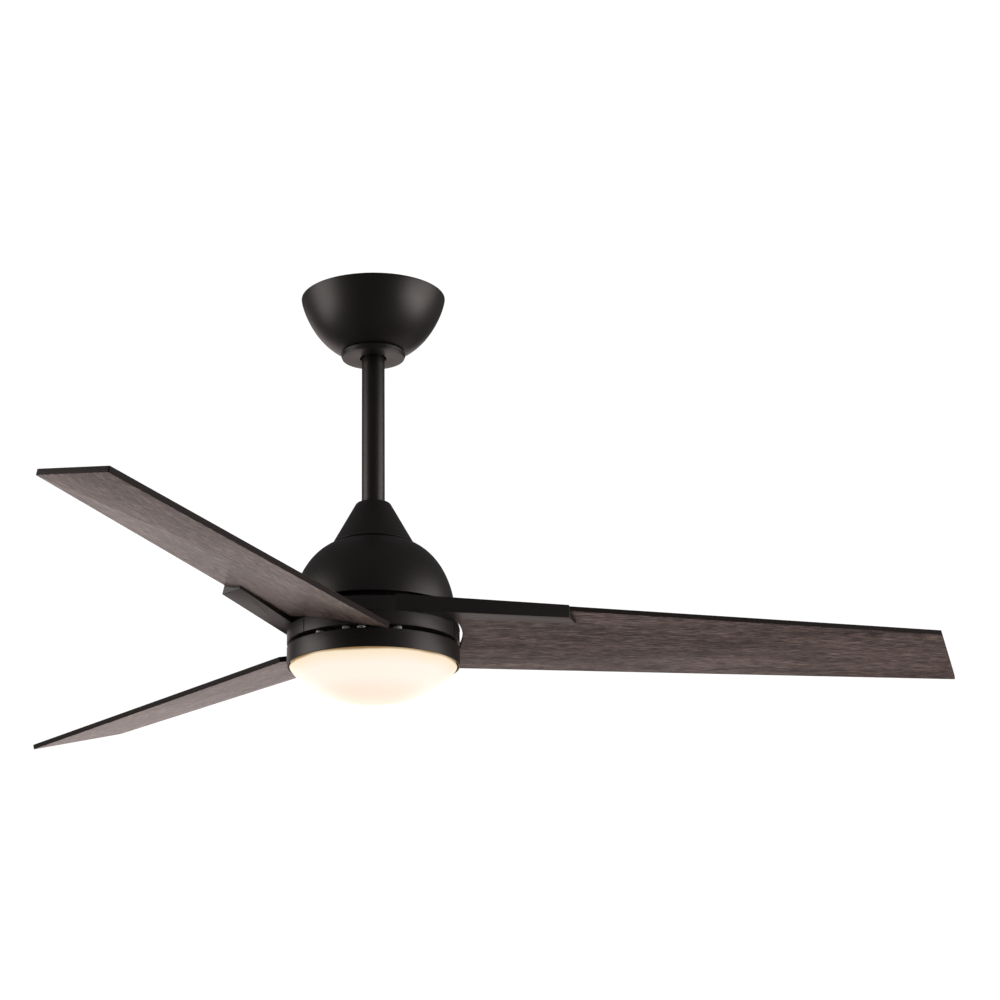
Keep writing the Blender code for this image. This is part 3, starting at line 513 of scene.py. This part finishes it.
canopySpots = [(side * canopyScrewLook["out"], 0) for side in (-1, 1)]
canopyHoles = [barBetween("hole", (x, y, canopyLow - 0.002), (x, y, canopyLow + 0.004),
                          canopyScrewLook["hole"]) for x, y in canopySpots]
combine(canopy, canopyHoles, "DIFFERENCE")
bakeDown(canopy, canopyHoles)
settle(canopy, "ceiling", ["canopy"])
dome = cleanShell(growFromNodes("motorDomeShell", bowlTree, domeLook), bevel=0.0006)
threeFromBack = [math.radians(90 + 120 * i) for i in range(3)]
crownSpots = [onCircle(domeScrewLook["out"], a, bladeZ) for a in threeFromBack]
domeHoles = [barBetween("hole", spot + Vector((0, 0, domeScrewLook["low"])),
                        spot + Vector((0, 0, domeScrewLook["high"])), domeScrewLook["hole"])
             for spot in crownSpots]
combine(dome, domeHoles, "DIFFERENCE")
bakeDown(dome, domeHoles)
settle(dome, "hanging", ["motor_dome"])
print("canopy and motor dome made")

# canopy cover, downrod and coupling cover
coverLook = {"radius": 0.0357, "step": 0.0008, "wall": 0.0012, "hole": 0.0148}


def makeCanopyCover():
    low, high = nodeSpan("canopy_cover")[1:]
    big, step, wall, hole = (coverLook[k] for k in ("radius", "step", "wall", "hole"))
    return lathe("canopyCover", roundOff([
        (big - step, high, 0.0003), (big - step, high - 0.0007, 0.0001), (big, high - 0.0011, 0.0004),
        (big, high - 0.0038, 0.0004), (big - step, high - 0.0044, 0.0001), (big - step, low + 0.0009, 0.0005),
        (big - 1.5 * step, low, 0.0005), (hole, low, 0.0004), (hole, low + wall, 0.0004),
        (big - 2 * step - wall, low + wall), (big - step - wall, high)]), blackPaint, steps=160)


settle(makeCanopyCover(), "ceiling", ["canopy_cover"])
rodR, rodLow, rodHigh = nodeSpan("downrod")
rodLook = {"wall": 0.0015, "pinHole": 0.0033, "pins": (-0.0450, bladeZ + 0.1280)}
rod = lathe("downrodTube", roundOff([(rodR, rodHigh, 0.0003), (rodR, rodLow, 0.0003),
                                     (rodR - rodLook["wall"], rodLow, 0.0003),
                                     (rodR - rodLook["wall"], rodHigh, 0.0003)], 3), blackPaint, steps=96)
rodHoles = [barBetween("hole", (-0.03, 0, z), (0.03, 0, z), rodLook["pinHole"]) for z in rodLook["pins"]]
combine(rod, rodHoles, "DIFFERENCE")
bakeDown(rod, rodHoles)
settle(rod, "hanging", ["downrod"])
coneLook = {"shoulder": 0.0213, "slope": 0.5326, "wall": 0.0013, "gap": 0.0005, "crown": 0.0031,
            "crownR": 0.0185, "rim": 0.0015}
coneLow, coneHigh = nodeSpan("coupling_cover")[1:]
coneShoulder = coneHigh - coneLook["crown"]
coneFoot = coneLook["shoulder"] + (coneShoulder - coneLow) * coneLook["slope"]
cone = lathe("couplingCone", roundOff([
    (rodR + coneLook["gap"], coneHigh, 0.0003), (coneLook["crownR"], coneHigh, 0.0035),
    (coneFoot, coneLow, 0.0004), (coneFoot - coneLook["rim"], coneLow, 0.0004),
    (coneLook["crownR"], coneShoulder, 0.001),
    (rodR + coneLook["gap"], coneHigh - coneLook["wall"], 0.0003)], 8), blackPaint, steps=160)
settle(cone, "hanging", ["coupling_cover"])
print("cover, rod and cone made")

# blades
bladeAngles = [math.radians(5.3 + 120 * k) for k in range(3)]
bladeLook = {"pitch": math.radians(13.77), "thick": 0.0060, "rootRadius": 0.0962,
             "rootSpan": (-0.0200, 0.1050), "leadRoot": (0.0470, 0.0878), "leadTip": (0.6150, 0.0417),
             "trailTip": (0.6605, -0.0618),
             "trailRoot": (0.0915, -0.0615), "tipRound": 0.0012, "rootRound": 0.0010, "edge": 0.0005,
             "hole": 0.0023, "screws": ((0.105, 0.0718), (0.147, 0.0682), (0.188, 0.0647))}


def bladeFrame(angle):
    # X runs out along the blade, Y to its leading edge, Z up through the board
    pitch = bladeLook["pitch"]
    out = Vector((math.cos(angle), math.sin(angle), 0))
    flat = Vector((math.sin(angle), -math.cos(angle), 0))
    lead = flat * math.cos(pitch) + Vector((0, 0, math.sin(pitch)))
    up = Vector((0, 0, math.cos(pitch))) - flat * math.sin(pitch)
    return Matrix.Translation((0, 0, bladeZ)) @ Matrix((out, lead, up)).transposed().to_4x4()


def bladeOutline(grow=0.0, fine=40):
    # the board's root follows a circle round the hub; grow widens it into a channel
    look = bladeLook
    root = look["rootRadius"] - grow
    (leadX, leadY), (tipX, tipY) = look["leadRoot"], look["leadTip"]
    (trailX, trailY), (endX, endY) = look["trailRoot"], look["trailTip"]
    first, length = look["rootSpan"]
    arc = []
    for i in range(fine):
        s = first + length * i / (fine - 1)
        arc.append((math.sqrt(root ** 2 - (s * math.cos(look["pitch"])) ** 2), s))
    rest = [(leadX - 3 * grow, leadY + grow), (tipX + grow, tipY + grow, look["tipRound"]),
            (endX + grow, endY - grow, look["tipRound"]), (trailX - grow, trailY - grow, look["rootRound"])]
    return roundOff(arc + rest)[::-1]


def makeBlade(index, angle):
    place = bladeFrame(angle)
    blade = prism(f"bladeBoard{index}", bladeOutline(), 0, bladeLook["thick"])
    bevel = blade.modifiers.new("Edges", "BEVEL")
    bevel.width, bevel.segments, bevel.angle_limit = bladeLook["edge"], 3, math.radians(60)
    holes = [barBetween("hole", (x, y, -0.01), (x, y, 0.02), bladeLook["hole"], 24)
             for x, y in bladeLook["screws"]]
    combine(blade, holes, "DIFFERENCE")
    bakeDown(blade, holes)
    # the grain map: metres out and across, each board from its own place in the veneer
    layer = blade.data.uv_layers.new(name="grain")
    for loop in blade.data.loops:
        spot = blade.data.vertices[loop.vertex_index].co
        layer.data[loop.index].uv = (spot.x + 3.1 * index, spot.y + spot.z + 0.37 * index)
    blade.data.transform(place)
    blade.data.materials.clear()
    blade.data.materials.append(walnut)
    blade.data.materials.append(darkEdge)
    for face in blade.data.polygons:
        across = abs(face.normal @ place.col[2].to_3d())
        face.material_index = 0 if across > 0.7 else 1
    blade.data.shade_smooth()
    blade.data.set_sharp_from_angle(angle=math.radians(35))
    settle(blade, "rotor", [f"blade_{index}"])


darkEdge = painted("bladeEdgeBand", (0.014, 0.0105, 0.0100), 0.70, drift=0.3, grain=600.0,
                   Specular_IOR_Level=0.22)
for number, angle in enumerate(bladeAngles, 1):
    makeBlade(number, angle)
print("blades made")

# blade holders
holderLook = {"wall": 0.0021, "end": 0.2010, "endInner": 0.2125, "ledge": (0.0520, -0.0891), "lip": 0.0005,
              "start": 0.015, "seamLead": math.radians(27.3), "seamGap": math.radians(0.8), "hubR": 0.0930,
              "topR": 0.0897, "shoulder": (0.0934, 0.0095, 0.0090), "floorR": 0.0690, "floorWall": 0.0026,
              "bandIn": 0.0882, "hollowR": 0.0872, "hollowDown": 0.0029, "round": 0.0006,
              "screwR": 0.0815, "screwHole": 0.0022,
              "screwLeads": (77.0, 115.5, 104.2, 138.6), "head": 0.0020}
clearance = 0.0003
hubTop, hubLow, armLow = bladeZ + 0.0260, bladeZ - 0.0055, bladeZ + 0.0097


def armOutline():
    (rootX, rootY), (tipX, tipY) = bladeLook["leadRoot"], bladeLook["leadTip"]
    start, end, endInner = (holderLook[k] for k in ("start", "end", "endInner"))

    def front(out):
        return rootY + (out - rootX) * (tipY - rootY) / (tipX - rootX) + holderLook["wall"]

    def inner(out):
        return holderLook["ledge"][0] + (out - 0.2) * holderLook["ledge"][1]

    return roundOff([(start, front(start)), (end, front(end), 0.0008), (endInner, inner(endInner), 0.0012),
                     (start, inner(start))])[::-1]


def screwSpots(angle, height):
    return [onCircle(holderLook["screwR"], angle - math.radians(lead), height)
            for lead in holderLook["screwLeads"]]


def makeHolder(index, angle):
    look = holderLook
    bandIn, floorTop = look["bandIn"], hubLow + look["floorWall"]
    shoulderR, shoulderTop, shoulderLow = look["shoulder"]
    start = angle - look["seamLead"] - look["seamGap"] / 2
    profile = roundOff([
        (look["topR"], hubTop, 0.0006), (shoulderR, bladeZ + shoulderTop, 0.0003),
        (look["hubR"], bladeZ + shoulderLow, 0.0002), (look["hubR"], hubLow, 0.0006),
        (look["floorR"], hubLow, 0.0003), (look["floorR"], floorTop), (bandIn + 0.002, floorTop),
        (bandIn + 0.002, bladeZ + 0.0120), (bandIn - 0.001, hubTop)], 4)
    holder = sweepPart(f"holderCasting{index}", profile, start, look["seamGap"] - math.radians(120), 60)
    place = bladeFrame(angle)
    arm = prism("arm", armOutline(), -0.0200, bladeLook["thick"] + look["lip"], place)
    under = barBetween("under", (0, 0, bladeZ - 0.06), (0, 0, armLow), 0.4)
    combine(arm, [under], "DIFFERENCE")
    bakeDown(arm, [under])
    soften = arm.modifiers.new("Edges", "BEVEL")
    soften.width, soften.segments, soften.angle_limit = look["round"], 3, math.radians(25)
    bakeDown(arm)
    channel = prism("channel", bladeOutline(clearance), -clearance, bladeLook["thick"] + 0.01, place)
    hollow = barBetween("hollow", (0, 0, bladeZ - look["hollowDown"]), (0, 0, bladeZ + 0.06),
                        look["hollowR"], 256)
    holes = [barBetween("hole", place @ Vector((x, y, -0.0036)), place @ Vector((x, y, 0.02)),
                        bladeLook["hole"], 24) for x, y in bladeLook["screws"]]
    holes += [barBetween("hole", spot, spot + Vector((0, 0, 0.007)), look["screwHole"], 24)
              for spot in screwSpots(angle, hubLow - 0.002)]
    combine(holder, [arm], "UNION")
    combine(holder, [hollow, channel] + holes, "DIFFERENCE")
    bakeDown(holder, [arm, hollow, channel] + holes)
    coat(holder, blackPaint, 30)
    settle(holder, "rotor", [f"blade_holder_{index}"])


for number, angle in enumerate(bladeAngles, 1):
    makeHolder(number, angle)
print("blade holders made")

# screws: one tree sets a recessed pan head on every point, along its aim
def makeScrewTree():
    tree, take, give = newGroup("panScrews", "GeometryNodeTree", [
        ("Geometry", "NodeSocketGeometry", None), ("Head Radius", "NodeSocketFloat", 0.004),
        ("Head Height", "NodeSocketFloat", 0.0022), ("Shank Radius", "NodeSocketFloat", 0.0019),
        ("Length", "NodeSocketFloat", 0.012), ("Recess", "NodeSocketFloat", 0.0011),
        ("Material", "NodeSocketMaterial", None)], [("Geometry", "NodeSocketGeometry")])
    inputs = take.outputs

    def lifted(geometry, amount, turn=0.0):
        shift = addNode(tree, "ShaderNodeCombineXYZ", Z=amount)
        return addNode(tree, "GeometryNodeTransform", Geometry=geometry, Translation=shift.outputs[0],
                       Rotation=(0, 0, turn)).outputs[0]

    half = sums(tree, "MULTIPLY", inputs["Head Height"], 0.5)
    lower = addNode(tree, "GeometryNodeMeshCylinder", Vertices=32, Radius=inputs["Head Radius"], Depth=half)
    upper = addNode(tree, "GeometryNodeMeshCone", Vertices=32, Radius_Bottom=inputs["Head Radius"],
                    Radius_Top=sums(tree, "MULTIPLY", inputs["Head Radius"], 0.72), Depth=half)
    shank = addNode(tree, "GeometryNodeMeshCylinder", Vertices=24, Radius=inputs["Shank Radius"],
                    Depth=inputs["Length"])
    low = lifted(lower.outputs["Mesh"], sums(tree, "MULTIPLY", half, -1.5))
    high = lifted(upper.outputs["Mesh"], sums(tree, "MULTIPLY", half, -1.0))
    stem = lifted(shank.outputs["Mesh"], sums(tree, "MULTIPLY", inputs["Length"], -0.5))
    stem = lifted(stem, sums(tree, "MULTIPLY", half, -1.6))
    solid = addNode(tree, "GeometryNodeMeshBoolean", {"operation": "UNION"})
    for body in (low, high, stem):
        tree.links.new(body, solid.inputs["Mesh 2"])
    size = addNode(tree, "ShaderNodeCombineXYZ", X=sums(tree, "MULTIPLY", inputs["Head Radius"], 1.15),
                   Y=sums(tree, "MULTIPLY", inputs["Head Radius"], 0.26),
                   Z=sums(tree, "MULTIPLY", inputs["Recess"], 2.0))
    bar = addNode(tree, "GeometryNodeMeshCube", Size=size.outputs[0])
    cross = addNode(tree, "GeometryNodeMeshBoolean", {"operation": "DIFFERENCE"})
    tree.links.new(solid.outputs["Mesh"], cross.inputs["Mesh 1"])
    for turn in (0.0, math.pi / 2):
        tree.links.new(lifted(bar.outputs["Mesh"], 0.0, turn), cross.inputs["Mesh 2"])
    aim = addNode(tree, "GeometryNodeInputNamedAttribute", {"data_type": "FLOAT_VECTOR"}, Name="aim")
    align = addNode(tree, "FunctionNodeAlignRotationToVector", {"axis": "Z"}, Vector=aim.outputs["Attribute"])
    points = addNode(tree, "GeometryNodeMeshToPoints", Mesh=inputs["Geometry"])
    placed = addNode(tree, "GeometryNodeInstanceOnPoints", Points=points.outputs[0],
                     Instance=cross.outputs["Mesh"], Rotation=align.outputs["Rotation"])
    real = addNode(tree, "GeometryNodeRealizeInstances", Geometry=placed.outputs[0])
    coated = addNode(tree, "GeometryNodeSetMaterial", Geometry=real.outputs[0], Material=inputs["Material"])
    tree.links.new(coated.outputs[0], give.inputs["Geometry"])
    return tree


def screwSet(name, spots, sizes, body, nodes, mat):
    # spots: (middle of the head's outer face, direction the head faces)
    mesh = bpy.data.meshes.new(name)
    mesh.from_pydata([tuple(place) for place, aim in spots], [], [])
    aims = mesh.attributes.new("aim", "FLOAT_VECTOR", "POINT")
    for i, (place, aim) in enumerate(spots):
        aims.data[i].vector = aim
    obj = growFromNodes(name, screwTree, {**sizes, "Material": mat}, mesh)
    obj.data.shade_smooth()
    obj.data.set_sharp_from_angle(angle=math.radians(35))
    settle(obj, body, nodes)


screwTree = makeScrewTree()
bladeScrewLook = {"Head Radius": 0.0040, "Head Height": 0.0022, "Shank Radius": 0.0019, "Length": 0.0090}
holderScrewLook = {"Head Radius": 0.0045, "Head Height": holderLook["head"], "Shank Radius": 0.0018,
                   "Length": 0.0100}
domeHeadLook = {"Head Radius": 0.0036, "Head Height": 0.0018, "Shank Radius": 0.0018, "Length": 0.0080}
canopyHeadLook = {"Head Radius": 0.0040, "Head Height": 0.0022, "Shank Radius": 0.0019, "Length": 0.0110}
up, down = Vector((0, 0, 1)), Vector((0, 0, -1))
bladeSpots, holderSpots = [], []
for angle in bladeAngles:
    place = bladeFrame(angle)
    top = bladeLook["thick"] + clearance + bladeScrewLook["Head Height"]
    bladeSpots += [(place @ Vector((x, y, top)), place.col[2].to_3d()) for x, y in bladeLook["screws"]]
    holderSpots += [(spot, down) for spot in screwSpots(angle, hubLow - clearance - holderLook["head"])]
screwSet("bladeScrews", bladeSpots, bladeScrewLook, "rotor",
         [f"blade_screw_{k}_{i}" for k in (1, 2, 3) for i in (1, 2, 3)], blackPaint)
screwSet("holderScrews", holderSpots, holderScrewLook, "rotor",
         [f"holder_screw_{k}_{i}" for k in (1, 2, 3) for i in (1, 2)], brightZinc)
screwSet("domeScrews", [(spot + Vector((0, 0, domeScrewLook["headTop"])), up) for spot in crownSpots],
         domeHeadLook, "hanging",
         [f"dome_screw_{k}" for k in (1, 2, 3)], steel)
screwSet("canopyScrews", [(Vector((x, y, canopyLow - clearance - canopyHeadLook["Head Height"])), down)
                          for x, y in canopySpots], canopyHeadLook, "ceiling",
         ["canopy_screw_1", "canopy_screw_2"], steel)
print("screws made")

# light ring and glass
panLook = {"wall": 0.0015, "bore": 0.0083, "tabIn": 0.0895, "tabTop": 0.0262, "tabLow": 0.0276,
           "tabSweep": math.radians(14), "postR": 0.0040, "postBore": 0.0019, "postOut": 0.072,
           "postLow": 0.0240}
panR, panLow, panHigh = nodeSpan("light_pan")
lugAngles = [math.radians(30 + 120 * k) for k in range(3)]
plateSpots = [onCircle(panLook["postOut"], a) for a in threeFromBack]


def makePan():
    look = panLook
    inner, roof = panR - look["wall"], panHigh - look["wall"]
    tabTop, tabLow = bladeZ - look["tabTop"], bladeZ - look["tabLow"]
    pan = lathe("lightRing", roundOff([
        (panR, panHigh, 0.0007), (panR, panLow, 0.0006), (inner, panLow, 0.0004), (inner, roof, 0.0008),
        (look["bore"], roof), (look["bore"], panHigh)]), blackPaint, steps=192)
    tabs = [sweepPart("tab", [(inner + 0.0007, tabTop), (inner + 0.0007, tabLow), (look["tabIn"], tabLow),
                              (look["tabIn"], tabTop)], a - look["tabSweep"] / 2, look["tabSweep"], 8)
            for a in lugAngles]
    posts = [barBetween("post", (x, y, roof + 0.0007), (x, y, bladeZ - look["postLow"]), look["postR"])
             for x, y, z in plateSpots]
    bores = [barBetween("bore", (x, y, bladeZ - 0.0180), (x, y, bladeZ - 0.0300), look["postBore"])
             for x, y, z in plateSpots]
    combine(pan, tabs + posts, "UNION")
    combine(pan, bores, "DIFFERENCE")
    bakeDown(pan, tabs + posts + bores)
    coat(pan, blackPaint, 35)
    settle(pan, "hanging", ["light_pan"])


makePan()
glassLow, glassHigh = nodeSpan("glass_shade")[1:]
glassShape = {"rimR": 0.0900, "rimDown": 0.0302, "wall": 0.0030, "powerA": 1.207, "powerB": 2.377,
              "neckOut": 0.0888, "neckIn": 0.0864, "lugOut": 0.0908, "lugLow": 0.0258, "rings": 48,
              "insideFrom": 4}


def makeGlass():
    look = glassShape
    rim, lugLow = bladeZ - look["rimDown"], bladeZ - look["lugLow"]
    depth = rim - glassLow
    lugRoot = look["neckOut"] - 0.0008
    levels = [math.sin(math.pi / 2 * i / look["rings"]) for i in range(look["rings"] + 1)]

    def bowl(radius, fall, steps):
        return [(radius * (1 - t ** look["powerA"]) ** (1 / look["powerB"]), rim - fall * t) for t in steps]

    outer = bowl(look["rimR"], depth, levels)
    inner = bowl(look["rimR"] - look["wall"], depth - look["wall"], levels[look["insideFrom"]:])
    profile = [(look["neckIn"], glassHigh), (look["neckOut"], glassHigh), (look["neckOut"], rim)]
    profile += outer[:-1] + [(0, glassLow), (0, glassLow + look["wall"])] + inner[:-1][::-1]
    glass = lathe("glassBowl", profile, frostedGlass, steps=192, sharp=50)
    lugs = [sweepPart("lug", [(look["lugOut"], glassHigh), (look["lugOut"], lugLow), (lugRoot, lugLow),
                              (lugRoot, glassHigh)], a - panLook["tabSweep"] / 2, panLook["tabSweep"], 8)
            for a in lugAngles]
    combine(glass, lugs, "UNION")
    bakeDown(glass, lugs)
    coat(glass, frostedGlass, 50)
    settle(glass, "shade", ["glass_shade"])


frostedGlass = makeFrostedGlass(bladeZ - glassShape["rimDown"], glassLow)
makeGlass()
print("light ring and glass made")

# finishes on the pieces that keep their CAD shape
finishes = {"steel": steel, "cast_aluminium": castAluminium, "copper_wire": copper, "magnet": ferrite,
            "black_nylon": nylon, "white_board": whiteEnamel, "black_metal": blackPaint}
slots = {part["node"]: part["material_slot"] for part in frame["record"]["subparts"]}
for name, obj in frame["nodes"].items():
    if slots[name] in finishes:
        for part in obj.material_slots:
            part.material = laminated if name == "stator_core" else finishes[slots[name]]
print("finishes set")

# stage: pale floor, white surroundings and soft lights
stageLook = {"floorZ": -3.0, "floorSize": 16.0, "floorColour": (0.80, 0.80, 0.79), "floorGlow": 0.75}
bpy.ops.mesh.primitive_plane_add(size=stageLook["floorSize"], location=(0, 0, stageLook["floorZ"]))
floor = bpy.context.object
floor.name = "floor"
# the floor's own glow keeps it pale and even; the fan is lit by the lights alone
floorMat = newMaterial("paleFloor", Base_Color=(*stageLook["floorColour"], 1), Roughness=0.8,
                       Emission_Color=(1, 1, 0.99, 1), Emission_Strength=stageLook["floorGlow"])[0]
floor.data.materials.append(floorMat)
floor.visible_diffuse = floor.visible_glossy = False


def softLight(name, place, target, size, power, colour=(1, 1, 1), glossy=True):
    data = bpy.data.lights.new(name, "AREA")
    data.shape = "RECTANGLE"
    data.size, data.size_y = size
    data.energy = power
    data.color = colour
    obj = bpy.data.objects.new(name, data)
    scene.collection.objects.link(obj)
    obj.location = place
    obj.rotation_euler = (Vector(target) - Vector(place)).to_track_quat("-Z", "Y").to_euler()
    obj.visible_camera = False
    obj.visible_glossy = glossy


hub = (0, 0, bladeZ)
softLight("leftSoftbox", (-2.0, -0.2, 0.10), (0, 0, -0.1), (1.5, 1.2), 15.5, (1, 0.91, 0.88))
softLight("leftLowBox", (-2.0, -0.1, -0.72), (0, 0, -0.1), (1.4, 0.42), 8.5, (1, 0.91, 0.88))
softLight("rightSoftbox", (2.0, -0.30, 0.10), (0, 0, -0.1), (1.9, 1.2), 16.5, (1, 0.91, 0.88))
softLight("rightLowBox", (2.0, -0.5, -0.72), (0, 0, -0.1), (1.6, 0.42), 15.5, (1, 0.91, 0.88))
softLight("backdropGlow", (-0.4, 3.0, -0.6), hub, (3.0, 2.4), 22.5, (1, 0.86, 0.83))
softLight("floorGlow", (1.2, 2.4, -2.9), hub, (3.4, 2.4), 10, (1, 0.84, 0.80))
softLight("underFill", (0, 0, -2.6), hub, (4.0, 4.0), 47, glossy=False)
softLight("topFill", (0, 0, 1.8), hub, (3.0, 3.0), 34, glossy=False)

world = bpy.data.worlds.new("surroundings")
scene.world = world
world.use_nodes = True
nodes = world.node_tree
background = nodes.nodes["Background"]
seen = addNode(nodes, "ShaderNodeLightPath").outputs["Is Camera Ray"]
level = sums(nodes, "ADD", sums(nodes, "MULTIPLY", seen, 0.95), 0.10)
background.inputs["Color"].default_value = (1, 1, 1, 1)
nodes.links.new(level, background.inputs["Strength"])
print("stage set")
